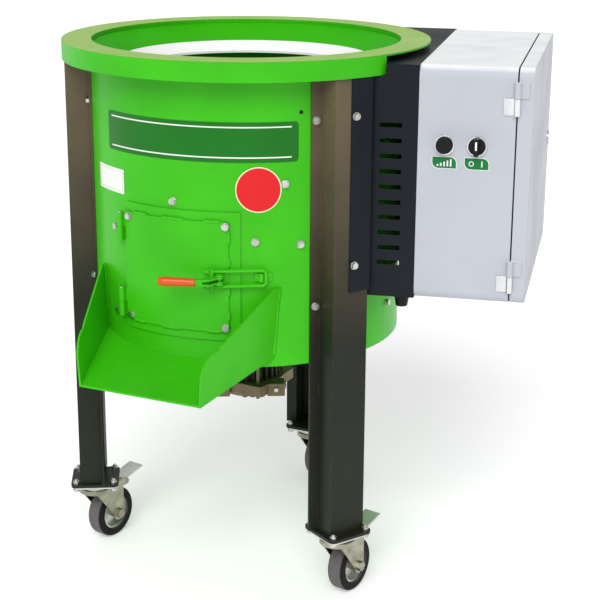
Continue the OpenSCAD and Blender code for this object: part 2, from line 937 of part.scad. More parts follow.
// Section of a folded leg: web, two side walls, and on each side a flange that lies on the drum
module leg_section() {
    half = leg_w / 2;
    bore_half = half - leg_t;
    web_x = leg_x + leg_d;
    polygon([
        flange_point(leg_x, leg_flange_w / 2, 1), flange_point(flange_x, leg_flange_w / 2, 1),
        flange_point(flange_x, flange_s1, 1), [web_x, half],
        [web_x, -half], flange_point(flange_x, flange_s1, -1),
        flange_point(flange_x, leg_flange_w / 2, -1), flange_point(leg_x, leg_flange_w / 2, -1),
        flange_point(leg_x, flange_s0, -1), [web_x - leg_t, -bore_half],
        [web_x - leg_t, bore_half], flange_point(leg_x, flange_s0, 1)
    ]);
}

module leg(a) {
    difference() {
        polar(a, 0, leg_z) linear_extrude(drum_z1 - seat - leg_z) leg_section();
        at_leg_bolts([a]) bolt_hole(3 * leg_t);
    }
}

module leg_left() {
    color(olive) leg(leg_as[0]);
}

module leg_right() {
    color(olive)
        difference() {
            leg(leg_as[1]);
            at_front_box_bolts() bolt_hole(3 * leg_t);
        }
}

module leg_rear() {
    color(olive)
        difference() {
            leg(leg_as[2]);
            at_rear_box_bolts() bolt_hole(3 * leg_t);
        }
}

module at_feet() {
    for (a = leg_as)
        polar(a, foot_x, 0) children();
}

module at_foot_bolts() {
    at_feet()
        for (i = [-1, 1], j = [-1, 1])
            translate([i * foot_bolt, j * foot_bolt, caster_h - plate_t]) rotate([180, 0, 0]) children();
}

module foot_plates() {
    color(olive)
        difference() {
            at_feet()
                translate([0, 0, foot_z])
                    linear_extrude(foot_t) rounded_rect(foot_side, foot_side, foot_round);
            at_foot_bolts() bolt_hole(3 * foot_t);
        }
}

module caster_plates() {
    color(zinc)
        difference() {
            at_feet() {
                translate([0, 0, caster_h - plate_t])
                    linear_extrude(plate_t) rounded_rect(plate_x, plate_y, plate_round);
                translate([0, 0, caster_h - plate_t - race_h]) cylinder(r = race_r, h = race_h);
                translate([0, 0, crown_z0 - pass]) cylinder(r = king_r, h = caster_h - crown_z0);
                translate([0, 0, crown_z0 - pass - king_head_h]) cylinder(r = king_head_r, h = king_head_h);
            }
            at_foot_bolts() bolt_hole(3 * foot_t);
        }
}

// Places children at a caster's king pin, with x along its trail
module at_caster(i) {
    polar(leg_as[i], foot_x, 0) rotate([0, 0, caster_a - leg_as[i]]) children();
}

// Places children at a caster's axle, with z along the axle
module at_axle(i) {
    at_caster(i) translate([trail, 0, wheel_r]) rotate([90, 0, 0]) children();
}

// Side of a fork: crown, leg down to the axle boss and lug back to the pedal's pin
module fork_outline() {
    polygon([
        [-crown_r * 0.65, crown_z1], [pedal_x, crown_z1],
        [pedal_x, pedal_z - pedal_barrel_r], [trail + fork_boss, pedal_z - pedal_barrel_r],
        [trail + fork_boss, wheel_r], [trail - fork_boss, wheel_r], [-crown_r * 0.65, crown_z0]
    ]);
    translate([trail, wheel_r]) circle(fork_boss);
    translate([pedal_x, pedal_z]) circle(pedal_barrel_r);
}

module fork(i) {
    color(zinc) {
        difference() {
            at_caster(i) {
                translate([0, 0, crown_z0]) cylinder(r = crown_r, h = crown_h);
                for (s = [-1, 1])
                    translate([0, s * (fork_in + fork_t / 2) + fork_t / 2, 0])
                        rotate([90, 0, 0]) linear_extrude(fork_t) fork_outline();
            }
            at_caster(i)
                translate([0, 0, crown_z0 - over]) cylinder(r = king_r + run, h = crown_h + 2 * over);
            at_axle(i) cylinder(r = axle_r + run, h = 3 * fork_out, center = true);
            at_caster(i)
                translate([pedal_x, 0, pedal_z])
                    rotate([90, 0, 0]) cylinder(r = pedal_pin_r + run, h = 3 * fork_out, center = true);
        }
        at_axle(i) {
            cylinder(r = axle_r, h = 2 * fork_out, center = true);
            for (s = [-1, 1])
                translate([0, 0, s * (fork_out + seat + axle_head_h / 2)])
                    cylinder(r = axle_head_r, h = axle_head_h + 2 * seat, center = true, $fn = 6);
        }
        at_caster(i)
            translate([pedal_x, 0, pedal_z])
                rotate([90, 0, 0]) cylinder(r = pedal_pin_r, h = 2 * fork_out, center = true);
    }
}

module fork_left() { fork(0); }
module fork_right() { fork(1); }
module fork_rear() { fork(2); }

// Pressed steel rim: hub tube, dished web and flanged seat for the tyre
module wheel_rim(i) {
    color(zinc)
        at_axle(i)
            difference() {
                rotate_extrude() {
                    translate([0, -hub_half]) square([hub_r, 2 * hub_half]);
                    translate([hub_r - dish_t, -dish_t / 2]) square([rim_seat_r - hub_r + dish_t, dish_t]);
                    translate([rim_seat_r - rim_lip, -tyre_w * 0.4]) square([rim_lip, tyre_w * 0.8]);
                }
                cylinder(r = axle_r + run, h = 3 * hub_half, center = true);
            }
}

module rim_left() { wheel_rim(0); }
module rim_right() { wheel_rim(1); }
module rim_rear() { wheel_rim(2); }

// Rubber tyre with rounded shoulders
module wheel_tyre(i) {
    color(black)
        at_axle(i)
            rotate_extrude() {
                translate([rim_seat_r + seat, -tyre_w / 2])
                    square([wheel_r - rim_seat_r - seat - tyre_round, tyre_w]);
                translate([rim_seat_r + seat, tyre_round - tyre_w / 2])
                    square([wheel_r - rim_seat_r - seat, tyre_w - 2 * tyre_round]);
                for (s = [-1, 1])
                    translate([wheel_r - tyre_round, s * (tyre_w / 2 - tyre_round)]) circle(tyre_round);
            }
}

module tyre_left() { wheel_tyre(0); }
module tyre_right() { wheel_tyre(1); }
module tyre_rear() { wheel_tyre(2); }

// Brake pedal: barrel on its pin, tread sloping up behind it and a shoe over the tyre
module brake(i) {
    half = fork_in - pass;
    shoe_low = wheel_r + sqrt(pow(wheel_r, 2) - pow(pedal_x - shoe_t - trail, 2)) + 2 * pass;
    color(zinc)
        at_caster(i)
            translate([pedal_x, 0, pedal_z])
                difference() {
                    union() {
                        rotate([90, 0, 0]) cylinder(r = pedal_barrel_r, h = 2 * half, center = true);
                        rotate([0, -pedal_a, 0])
                            translate([-pedal_t, pedal_t - half, 0])
                                cube([pedal_len + pedal_t, 2 * (half - pedal_t), pedal_t]);
                        translate([-shoe_t, -half * 0.6, shoe_low - pedal_z])
                            cube([shoe_t, half * 1.2, pedal_z - shoe_low]);
                    }
                    rotate([90, 0, 0]) cylinder(r = pedal_pin_r + run, h = 3 * fork_out, center = true);
                }
}

module brake_left() { brake(0); }
module brake_right() { brake(1); }
module brake_rear() { brake(2); }

// Flange motor hung under the drum's floor, finned along its length
module motor_body() {
    bell_top = motor_z + bell_h;
    fin_len = floor_z - flange_t / 2 - bell_top;
    color(black)
        difference() {
            union() {
                translate([0, 0, floor_z - flange_t]) cylinder(r = flange_r, h = flange_t - seat);
                translate([0, 0, bell_top]) cylinder(r = motor_r - fin_h, h = fin_len);
                for (i = [0:fin_count - 1])
                    rotate([0, 0, full_turn / fin_count * i])
                        translate([motor_r - 2 * fin_h, -fin_t / 2, bell_top])
                            cube([2 * fin_h, fin_t, fin_len]);
            }
            translate([0, 0, bell_top + shaft_gap]) cylinder(r = shaft_r + run, h = floor_z);
            for (a = motor_bolt_as)
                polar(a, motor_bolt_ring, floor_z) bolt_hole(2 * flange_t);
            for (a = tie_as)
                polar(a, tie_ring, motor_z) cylinder(r = tie_r + run, h = floor_z);
        }
}

module motor_end_bell() {
    color([0.42, 0.40, 0.36])
        difference() {
            rotate_extrude()
                polygon([
                    [0, motor_z], [bell_r * 0.55, motor_z], [bell_r * 0.9, motor_z + bell_h * 0.3],
                    [bell_r, motor_z + bell_h * 0.5], [bell_r, motor_z + bell_h - seat],
                    [0, motor_z + bell_h - seat]
                ]);
            for (a = tie_as)
                polar(a, tie_ring, motor_z - over) cylinder(r = tie_r + run, h = 2 * bell_h);
        }
}

module motor_tie_rods() {
    low = motor_z + bell_h * 0.3 - tie_nut_h;
    color(zinc)
        for (a = tie_as)
            polar(a, tie_ring, low) cylinder(r = tie_r, h = floor_z - low - seat);
}

module motor_shaft() {
    shaft_low = motor_z + bell_h + shaft_gap + pass;
    color(zinc) translate([0, 0, shaft_low]) cylinder(r = shaft_r, h = shaft_top - shaft_low);
}

module rotor_disc() {
    color(zinc)
        difference() {
            translate([0, 0, disc_z]) cylinder(r = rotor_r, h = disc_t);
            translate([0, 0, disc_z - over]) cylinder(r = shaft_r + run, h = disc_t + 2 * over);
        }
}

module rotor_ribs() {
    color(zinc)
        for (i = [0:rib_count - 1])
            polar(full_turn / rib_count * i, rib_r0, disc_z + disc_t)
                translate([0, -rib_w / 2, 0]) cube([rib_r1 - rib_r0, rib_w, rib_h]);
}

// Hub under the disc and domed nut over it
module rotor_hub() {
    color(zinc) {
        difference() {
            translate([0, 0, hub_z]) cylinder(r = rotor_hub_r, h = hub_h);
            translate([0, 0, hub_z - over]) cylinder(r = shaft_r + run, h = hub_h + 2 * over);
        }
        difference() {
            union() {
                translate([0, 0, disc_z + disc_t])
                    cylinder(r = rotor_hub_r * 0.9, h = hub_nut_h + pass, $fn = 6);
                translate([0, 0, disc_z + disc_t + hub_nut_h + pass])
                    cylinder(r1 = rotor_hub_r * 0.7, r2 = rotor_hub_r * 0.3, h = hub_nut_h / 2);
            }
            translate([0, 0, disc_z]) cylinder(r = shaft_r + run, h = shaft_top - disc_z + run);
        }
    }
}

// Bolts of the support box: through its lap into the right leg's web, and into the rear leg's side wall
module at_front_box_bolts() {
    for (drop = box_bolt_drops)
        polar(leg_as[1], lap_x + box_t, cab_z1 - drop) translate([0, box_bolt_t, 0]) outwards() children();
}

module at_rear_box_bolts() {
    for (drop = box_bolt_drops)
        polar(leg_as[2], rear_bolt_x, cab_z1 - drop)
            translate([0, -leg_w / 2 - pass - box_t, 0]) rotate([90, 0, 0]) children();
}

// Plan of the support box's top and bottom
module box_plan() {
    polygon([
        [box_u_front, -cab_front], [cab_u - seat, -cab_front],
        [cab_u - seat, cab_rear], [box_u_rear, cab_rear]
    ]);
}

module support_box() {
    inner_u = cab_u - seat - box_t;
    color(slate)
        difference() {
            union() {
                at_cabinet() {
                    for (z = [cab_z0, cab_z1 - box_t])
                        translate([0, 0, z]) linear_extrude(box_t) box_plan();
                    translate([box_u_front, -cab_front, cab_z0])
                        cube([cab_u - seat - box_u_front, box_t, cab_h]);
                    translate([box_u_rear, cab_rear - box_t, cab_z0])
                        cube([cab_u - seat - box_u_rear, box_t, cab_h]);
                    for (w = [-cab_front, cab_rear - box_flange])
                        translate([inner_u, w, cab_z0]) cube([box_t, box_flange, cab_h]);
                    for (z = [cab_z0, cab_z1 - box_flange])
                        translate([inner_u, -cab_front, z]) cube([box_t, cab_w, box_flange]);
                }
                polar(leg_as[2], rear_flange_x0, cab_z0 + box_t / 2)
                    translate([0, -leg_w / 2 - pass - box_t, 0])
                        cube([rear_flange_x1 - rear_flange_x0, box_t, cab_h - box_t]);
                polar(leg_as[1], 0, lap_z0) {
                    translate([lap_x, lap_t, 0]) cube([box_t, lap_edge + box_t - lap_t, lap_z1 - lap_z0]);
                    translate([lap_root, lap_edge, 0])
                        cube([lap_x + box_t - lap_root, box_t, lap_z1 - lap_z0]);
                }
            }
            at_cabinet()
                translate([box_u_front - over, -cab_front - over, rim_z - rim_skirt - pass])
                    cube([notch_u - box_u_front + over, notch_w + cab_front + over, rim_skirt]);
            translate([0, 0, cab_z0 - over]) cylinder(r = drum_r + box_drum_gap, h = cab_h + 2 * over);
            at_front_box_bolts() bolt_hole(3 * leg_t);
            at_rear_box_bolts() bolt_hole(3 * leg_t);
            at_cabinet() {
                for (i = [0:slot_count - 1])
                    translate([slot_u - slot_w / 2, -cab_front - over, cab_z1 - slot_drop - i * slot_step])
                        cube([slot_w, box_t + 2 * over, slot_h]);
                translate([gland_u, gland_w, cab_z0 - over])
                    cylinder(r = gland_thread_r + run, h = box_t + 2 * over);
            }
        }
}

// Extrudes a cabinet outline, inset all round, between two distances from the drum's axis
module cabinet_prism(u0, u1, inset) {
    at_cabinet()
        translate([u0, cab_wc, cab_zc])
            rotate([90, 0, 90])
                linear_extrude(u1 - u0)
                    rounded_rect(cab_w - 2 * inset, cab_h - 2 * inset, max(cab_r - inset, cab_t));
}

module cabinet_body() {
    color(grey)
        difference() {
            cabinet_prism(cab_u, cab_u1, 0);
            cabinet_prism(cab_u + cab_t, cab_u1 - cab_t, cab_t);
            cabinet_prism(cab_u1 - 2 * cab_t, cab_u1 + over, lip_in);
            at_controls() translate([0, 0, -2 * cab_t]) cylinder(r = neck_r + run, h = 4 * cab_t);
        }
}

module cabinet_gasket() {
    color(black)
        difference() {
            cabinet_prism(cab_u1, cab_u1 + gasket_t, cab_t);
            cabinet_prism(cab_u1 - over, cab_u1 + gasket_t + over, cab_t + gasket_w);
        }
}

// One knuckle of a cabinet hinge with its leaf running to the given distance
module cab_knuckle(z, u) {
    at_cabinet() {
        translate([cab_hinge_u, cab_hinge_w, z]) cylinder(r = cab_hinge_r, h = cab_hinge_len / 2 - pass / 2);
        translate([min(u, cab_hinge_u), -cab_front - cab_leaf_t, z])
            cube([abs(u - cab_hinge_u), cab_leaf_t - run, cab_hinge_len / 2 - pass / 2]);
    }
}

module cab_hinge_bores() {
    at_cabinet()
        for (z = cab_hinge_zs)
            translate([cab_hinge_u, cab_hinge_w, z - cab_hinge_len])
                cylinder(r = cab_hinge_pin_r + run, h = 2 * cab_hinge_len);
}

module cabinet_hinges() {
    color(grey)
        difference() {
            for (z = cab_hinge_zs)
                cab_knuckle(z - cab_hinge_len / 2, cab_hinge_u - cab_leaf_u);
            cab_hinge_bores();
        }
}

module cabinet_door() {
    color(grey)
        difference() {
            union() {
                cabinet_prism(door_u, door_u1, 0);
                for (z = cab_hinge_zs)
                    difference() {
                        cab_knuckle(z + pass / 2, cab_hinge_u + cab_leaf_u * 0.8);
                        cabinet_prism(cab_u, door_u, 0);
                    }
                at_cabinet()
                    for (z = cab_hinge_zs)
                        translate([door_u, -cab_front - cab_leaf_t, z + pass / 2])
                            cube([cab_leaf_u * 0.8, 2 * cab_leaf_t, cab_hinge_len / 2 - pass / 2]);
            }
            cabinet_prism(door_u - over, door_u1 - cab_t, 2 * cab_t);
            cab_hinge_bores();
            at_lock() translate([0, 0, -door_d]) cylinder(r = lock_r + run, h = 2 * door_d);
        }
}

// Places children on the cabinet door's face at the lock, with z outwards
module at_lock() {
    at_cabinet() translate([door_u1, lock_w, cab_zc]) outwards() children();
}

module cabinet_lock() {
    barrel = door_d * 0.6;
    color(zinc)
        at_lock()
            difference() {
                union() {
                    translate([0, 0, seat]) cylinder(r = lock_head_r, h = lock_head_h);
                    translate([0, 0, -barrel]) cylinder(r = lock_r, h = barrel + lock_head_h);
                    translate([-cam_w / 2, -cam_w / 2, -barrel - cam_t])
                        cube([cam_len + cam_w / 2, cam_w, cam_t]);
                }
                translate([-lock_r * 0.8, -lock_slot_w / 2, seat + lock_head_h - lock_slot_d])
                    cube([lock_r * 1.6, lock_slot_w, lock_slot_d + over]);
            }
}

module mounting_plate() {
    color(zinc)
        at_cabinet()
            translate([back_plate_u, plate_inset - cab_front, cab_z0 + plate_inset])
                cube([back_plate_t, cab_w - 2 * plate_inset, cab_h - 2 * plate_inset]);
}

// Inverter with a finned heat sink under its cover
module inverter() {
    sink_d = drive_d * 0.4;
    fin_step = (drive_w - drive_fin) / (drive_fin_count - 1);
    color([0.25, 0.26, 0.28])
        at_cabinet()
            translate([back_plate_u + back_plate_t + seat, drive_wc - drive_w / 2, cab_zc - drive_h * 0.35]) {
                for (i = [0:drive_fin_count - 1])
                    translate([0, i * fin_step, 0]) cube([sink_d, drive_fin, drive_h]);
                translate([sink_d - drive_fin, 0, 0]) cube([drive_d - sink_d + drive_fin, drive_w, drive_h]);
            }
}

// Rail near the cabinet's foot with a row of terminals on it
module terminal_rail() {
    start = cab_wc - rail_len / 2;
    pitch = rail_len / terminal_count;
    color([0.55, 0.57, 0.55])
        at_cabinet()
            translate([back_plate_u + back_plate_t + seat, start, cab_z0 + rail_rise]) {
                cube([rail_t, rail_len, rail_h]);
                for (i = [0:terminal_count - 1])
                    translate([rail_t - run, i * pitch + (pitch - terminal_w) / 2, (rail_h - terminal_h) / 2])
                        cube([terminal_d, terminal_w, terminal_h]);
            }
}

// Places children on the cabinet's front face at one control, or at both, with z outwards
module at_control(i) {
    at_cabinet() translate([knob_us[i], -cab_front, control_z]) rotate([90, 0, 0]) children();
}

module at_controls() {
    for (i = [0, 1])
        at_control(i) children();
}

// Bezel, neck through the sheet and contact block behind it
module control_switches() {
    color(zinc)
        at_controls()
            difference() {
                union() {
                    translate([0, 0, seat]) cylinder(r = bezel_r, h = bezel_h);
                    translate([0, 0, -block_gap - over]) cylinder(r = neck_r, h = block_gap + bezel_h + over);
                    translate([-block_w / 2, -block_h / 2, -block_gap - block_d])
                        cube([block_w, block_h, block_d]);
                }
                translate([0, 0, seat + bezel_h - stem_len - pass])
                    cylinder(r = stem_r + run, h = 2 * stem_len);
            }
}

// Fluted knob with an index groove
module speed_knob() {
    color(black)
        at_control(0)
            translate([0, 0, seat + bezel_h]) {
                translate([0, 0, -stem_len]) cylinder(r = stem_r, h = stem_len + knob_h);
                translate([0, 0, pass]) cylinder(r = knob_skirt_r, h = knob_skirt_h);
                difference() {
                    translate([0, 0, pass]) cylinder(r = knob_r, h = knob_h);
                    for (i = [0:knob_grooves - 1])
                        rotate([0, 0, full_turn / knob_grooves * i])
                            translate([knob_r + knob_groove * 0.4, 0, knob_skirt_h + 2 * pass])
                                cylinder(r = knob_groove, h = knob_h);
                    translate([-knob_groove / 2, knob_r * 0.3, knob_h + pass - knob_groove])
                        cube([knob_groove, knob_r, 2 * knob_groove]);
                }
            }
}

// Round selector with a raised finger bar
module selector_knob() {
    color(black)
        at_control(1)
            translate([0, 0, seat + bezel_h]) {
                translate([0, 0, -stem_len]) cylinder(r = stem_r, h = stem_len + pass);
                translate([0, 0, pass]) cylinder(r = knob_skirt_r, h = knob_skirt_h);
                intersection() {
                    translate([0, 0, pass]) cylinder(r = knob_skirt_r, h = knob_skirt_h + lever_h);
                    difference() {
                        translate([-lever_w / 2, -knob_skirt_r, pass])
                            cube([lever_w, 2 * knob_skirt_r, knob_skirt_h + lever_h]);
                        translate([-knob_groove / 2, knob_r * 0.1, knob_skirt_h + lever_h - knob_groove])
                            cube([knob_groove, 2 * knob_r, 2 * knob_groove]);
                    }
                }
            }
}

// Gland through the box's bottom, with its locknut inside and its dome below
module cable_gland() {
    color(black)
        at_cabinet()
            translate([gland_u, gland_w, cab_z0])
                difference() {
                    union() {
                        translate([0, 0, -gland_hex_h - seat])
                            cylinder(r = gland_hex_r, h = gland_hex_h, $fn = 6);
                        translate([0, 0, -gland_hex_h - gland_dome_h])
                            cylinder(r1 = gland_dome_r * 0.8, r2 = gland_dome_r, h = gland_dome_h);
                        translate([0, 0, -gland_hex_h])
                            cylinder(r = gland_thread_r, h = gland_hex_h + box_t + 2 * gland_nut_h);
                        translate([0, 0, box_t + seat]) cylinder(r = gland_hex_r, h = gland_nut_h, $fn = 6);
                    }
                    translate([0, 0, -gland_hex_h - gland_dome_h - over])
                        cylinder(r = gland_bore_r, h = gland_hex_h + gland_dome_h + box_t + 3 * gland_nut_h);
                }
}

drum_shell();
rim_ring();
splash_cone();
throat_ring();
drum_floor();
scrub_bars();
frame_bolts();
gate_frame();
hinge_brackets();
hinge_pins();
latch_catch();
discharge_chute();
discharge_gate();
gate_plug();
gate_bolts();
latch_base();
latch_pivot_pin();
latch_lever();
latch_grip();
latch_ubolt();
latch_trunnion();
latch_nuts();
leg_left();
leg_right();
leg_rear();
foot_plates();
caster_plates();
fork_left();
fork_right();
fork_rear();
rim_left();
rim_right();
rim_rear();
tyre_left();
tyre_right();
tyre_rear();
brake_left();
brake_right();
brake_rear();
motor_body();
motor_end_bell();
motor_tie_rods();
motor_shaft();
rotor_disc();
rotor_ribs();
rotor_hub();
support_box();
cabinet_body();
cabinet_gasket();
cabinet_door();
cabinet_hinges();
cabinet_lock();
mounting_plate();
inverter();
terminal_rail();
control_switches();
speed_knob();
selector_knob();
cable_gland();
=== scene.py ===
"""Walnut huller: finishes, labels, weld beads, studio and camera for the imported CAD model."""
import math

import bmesh
import bpy
from mathutils import Euler, Matrix, Vector


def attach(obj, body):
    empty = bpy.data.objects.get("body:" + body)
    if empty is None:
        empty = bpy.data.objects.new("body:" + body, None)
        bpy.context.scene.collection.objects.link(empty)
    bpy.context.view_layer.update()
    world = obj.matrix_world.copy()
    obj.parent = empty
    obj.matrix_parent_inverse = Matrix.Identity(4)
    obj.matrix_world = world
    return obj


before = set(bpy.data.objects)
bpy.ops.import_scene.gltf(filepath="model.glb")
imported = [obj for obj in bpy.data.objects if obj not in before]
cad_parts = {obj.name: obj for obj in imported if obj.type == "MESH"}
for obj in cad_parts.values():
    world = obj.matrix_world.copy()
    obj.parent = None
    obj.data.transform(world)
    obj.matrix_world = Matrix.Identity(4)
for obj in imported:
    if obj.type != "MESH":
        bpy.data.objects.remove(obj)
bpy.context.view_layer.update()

MM = 0.001

# Places taken from the CAD source, in millimetres and degrees.
DRUM_R = 256
CABINET_ANGLE = 15
CABINET_FRONT = 166
GATE_EDGE_R = 261.6
GATE_EDGE_ANGLE = 293
GATE_HEIGHTS = (470, 645)
CHUTE_ANGLE = 272.3
CHUTE_HALF = 145.5
CHUTE_LIP_Z = 388
CHUTE_HEIGHTS = (433, 538)
CHEEK_FLARE = 3.4
CONTROL_Z = 762
SPEED_U, SELECTOR_U = 350, 399
SELECTOR_TOP = 19.35
WHEEL_AXLE = (0.990268, -0.139173, 0)


def linear(hex_colour):
    """Linear RGBA of an sRGB hex colour."""
    srgb = [int(hex_colour[i:i + 2], 16) / 255 for i in (1, 3, 5)]
    rgb = [c / 12.92 if c <= 0.04045 else ((c + 0.055) / 1.055) ** 2.4 for c in srgb]
    return (*rgb, 1)


def add_node(tree, kind, inputs=None, **settings):
    """A new node with its settings, and each named input linked to a socket or set to a value."""
    node = tree.nodes.new(kind)
    for name, value in settings.items():
        setattr(node, name, value)
    for socket, value in (inputs or {}).items():
        if isinstance(value, bpy.types.NodeSocket):
            tree.links.new(value, node.inputs[socket])
        else:
            node.inputs[socket].default_value = value
    return node


def new_finish(name):
    """An empty finish: its material, tree, shader and Object coordinates."""
    material = bpy.data.materials.new(name)
    material.use_nodes = True
    tree = material.node_tree
    tree.nodes.clear()
    shader = add_node(tree, "ShaderNodeBsdfPrincipled")
    add_node(tree, "ShaderNodeOutputMaterial", {"Surface": shader.outputs[0]})
    place = add_node(tree, "ShaderNodeTexCoord").outputs["Object"]
    return material, tree, shader, place


def per_metre(size_mm):
    """Noise scale whose features are about the given size."""
    return 1 / (size_mm * MM)


def painted_sheet(name, colour, shade, worn, roughness, peel_mm, edge_mm=0.7, specular=0.25, veil=None):
    """Powder coat baked on folded sheet: an orange-peel skin that softens the edges, thin and rubbed on them,
    with slow drifts of tone where handling has dulled it. The veil gives its colour, whether it comes on by the
    face's tilt or the height in metres, the span over which it comes on, and how much there is at the most: real dust
    on the rim's top, a painted highlight on the cabinet's top, a painted brown reflection on the legs' upper parts."""
    material, tree, shader, place = new_finish(name)
    drift = add_node(tree, "ShaderNodeTexNoise", {"Vector": place, "Scale": per_metre(140), "Detail": 3})
    tone = add_node(tree, "ShaderNodeMapRange", {0: drift.outputs[0], 1: 0.42, 2: 0.72})
    body = add_node(tree, "ShaderNodeMix", {0: tone.outputs[0], 6: linear(colour), 7: linear(shade)},
                    data_type="RGBA")
    # The veil: real dust on the rim, a painted highlight on the cabinet's top, a painted brown reflection on the
    # legs.
    if veil:
        dust_and_light_colour, comes_on_by, low, high, most = veil
        around = add_node(tree, "ShaderNodeTexCoord").outputs[{"tilt": "Normal", "height": "Object"}[comes_on_by]]
        upward = add_node(tree, "ShaderNodeSeparateXYZ", {0: around})
        dust_and_light_ramp = add_node(tree, "ShaderNodeMapRange", {0: upward.outputs["Z"], 1: low, 2: high, 4: most})
        patch = add_node(tree, "ShaderNodeTexNoise", {"Vector": place, "Scale": per_metre(60), "Detail": 4})
        cover = add_node(tree, "ShaderNodeMapRange", {0: patch.outputs[0], 1: 0.25, 2: 0.6, 3: 0.75, 4: 1})
        layer = add_node(tree, "ShaderNodeMath", {0: dust_and_light_ramp.outputs[0], 1: cover.outputs[0]}, operation="MULTIPLY")
        body = add_node(tree, "ShaderNodeMix", {0: layer.outputs[0], 6: body.outputs[2], 7: linear(dust_and_light_colour)},
                        data_type="RGBA")
    rounded = add_node(tree, "ShaderNodeBevel", {"Radius": edge_mm * MM}, samples=4)
    flat = add_node(tree, "ShaderNodeNewGeometry")
    turn = add_node(tree, "ShaderNodeVectorMath", {0: rounded.outputs[0], 1: flat.outputs["Normal"]},
                    operation="DOT_PRODUCT")
    grit = add_node(tree, "ShaderNodeTexNoise", {"Vector": place, "Scale": per_metre(9), "Detail": 4})
    edge = add_node(tree, "ShaderNodeMapRange", {0: turn.outputs["Value"], 1: 0.995, 2: 0.9})
    chip = add_node(tree, "ShaderNodeMapRange", {0: grit.outputs[0], 1: 0.5, 2: 0.68})
    rub = add_node(tree, "ShaderNodeMath", {0: edge.outputs[0], 1: chip.outputs[0]}, operation="MULTIPLY")
    skin = add_node(tree, "ShaderNodeMix", {0: rub.outputs[0], 6: body.outputs[2], 7: linear(worn)},
                    data_type="RGBA")
    tree.links.new(skin.outputs[2], shader.inputs["Base Color"])
    haze = add_node(tree, "ShaderNodeMapRange", {0: drift.outputs[0], 1: 0.3, 2: 0.75,
                                                 3: roughness - 0.05, 4: roughness + 0.1})
    tree.links.new(haze.outputs[0], shader.inputs["Roughness"])
    peel = add_node(tree, "ShaderNodeTexNoise", {"Vector": place, "Scale": per_metre(peel_mm), "Detail": 1})
    bump = add_node(tree, "ShaderNodeBump", {"Strength": 0.12, "Distance": 0.1 * MM, "Height": peel.outputs[0],
                                             "Normal": rounded.outputs[0]})
    tree.links.new(bump.outputs[0], shader.inputs["Normal"])
    shader.inputs["Specular IOR Level"].default_value = specular
    return material


def plated_steel(name, colour, stain, roughness, spangle_mm, metallic=1):
    """Zinc on pressed or turned steel: a soft silver that clouds from place to place, with fine handling marks."""
    material, tree, shader, place = new_finish(name)
    cloud = add_node(tree, "ShaderNodeTexNoise", {"Vector": place, "Scale": per_metre(spangle_mm), "Detail": 5})
    tone = add_node(tree, "ShaderNodeMapRange", {0: cloud.outputs[0], 1: 0.35, 2: 0.75})
    body = add_node(tree, "ShaderNodeMix", {0: tone.outputs[0], 6: linear(colour), 7: linear(stain)},
                    data_type="RGBA")
    tree.links.new(body.outputs[2], shader.inputs["Base Color"])
    shader.inputs["Metallic"].default_value = metallic
    haze = add_node(tree, "ShaderNodeMapRange", {0: cloud.outputs[0], 1: 0.3, 2: 0.7,
                                                 3: roughness - 0.08, 4: roughness + 0.12})
    tree.links.new(haze.outputs[0], shader.inputs["Roughness"])
    rounded = add_node(tree, "ShaderNodeBevel", {"Radius": 0.5 * MM}, samples=4)
    marks = add_node(tree, "ShaderNodeTexNoise", {"Vector": place, "Scale": per_metre(1.5), "Detail": 3})
    bump = add_node(tree, "ShaderNodeBump", {"Strength": 0.1, "Distance": 0.05 * MM, "Height": marks.outputs[0],
                                             "Normal": rounded.outputs[0]})
    tree.links.new(bump.outputs[0], shader.inputs["Normal"])
    return material


def moulded_plastic(name, colour, shade, roughness, grain_mm, specular=0.5):
    """Injection-moulded plastic: one colour through and through, with a fine spark-eroded grain."""
    material, tree, shader, place = new_finish(name)
    cloud = add_node(tree, "ShaderNodeTexNoise", {"Vector": place, "Scale": per_metre(35), "Detail": 3})
    body = add_node(tree, "ShaderNodeMix", {0: cloud.outputs[0], 6: linear(colour), 7: linear(shade)},
                    data_type="RGBA")
    tree.links.new(body.outputs[2], shader.inputs["Base Color"])
    haze = add_node(tree, "ShaderNodeMapRange", {0: cloud.outputs[0], 3: roughness - 0.06, 4: roughness + 0.06})
    tree.links.new(haze.outputs[0], shader.inputs["Roughness"])
    rounded = add_node(tree, "ShaderNodeBevel", {"Radius": 0.6 * MM}, samples=4)
    grain = add_node(tree, "ShaderNodeTexNoise", {"Vector": place, "Scale": per_metre(grain_mm), "Detail": 2})
    bump = add_node(tree, "ShaderNodeBump", {"Strength": 0.15, "Distance": 0.05 * MM, "Height": grain.outputs[0],
                                             "Normal": rounded.outputs[0]})
    tree.links.new(bump.outputs[0], shader.inputs["Normal"])
    shader.inputs["Specular IOR Level"].default_value = specular
    return material


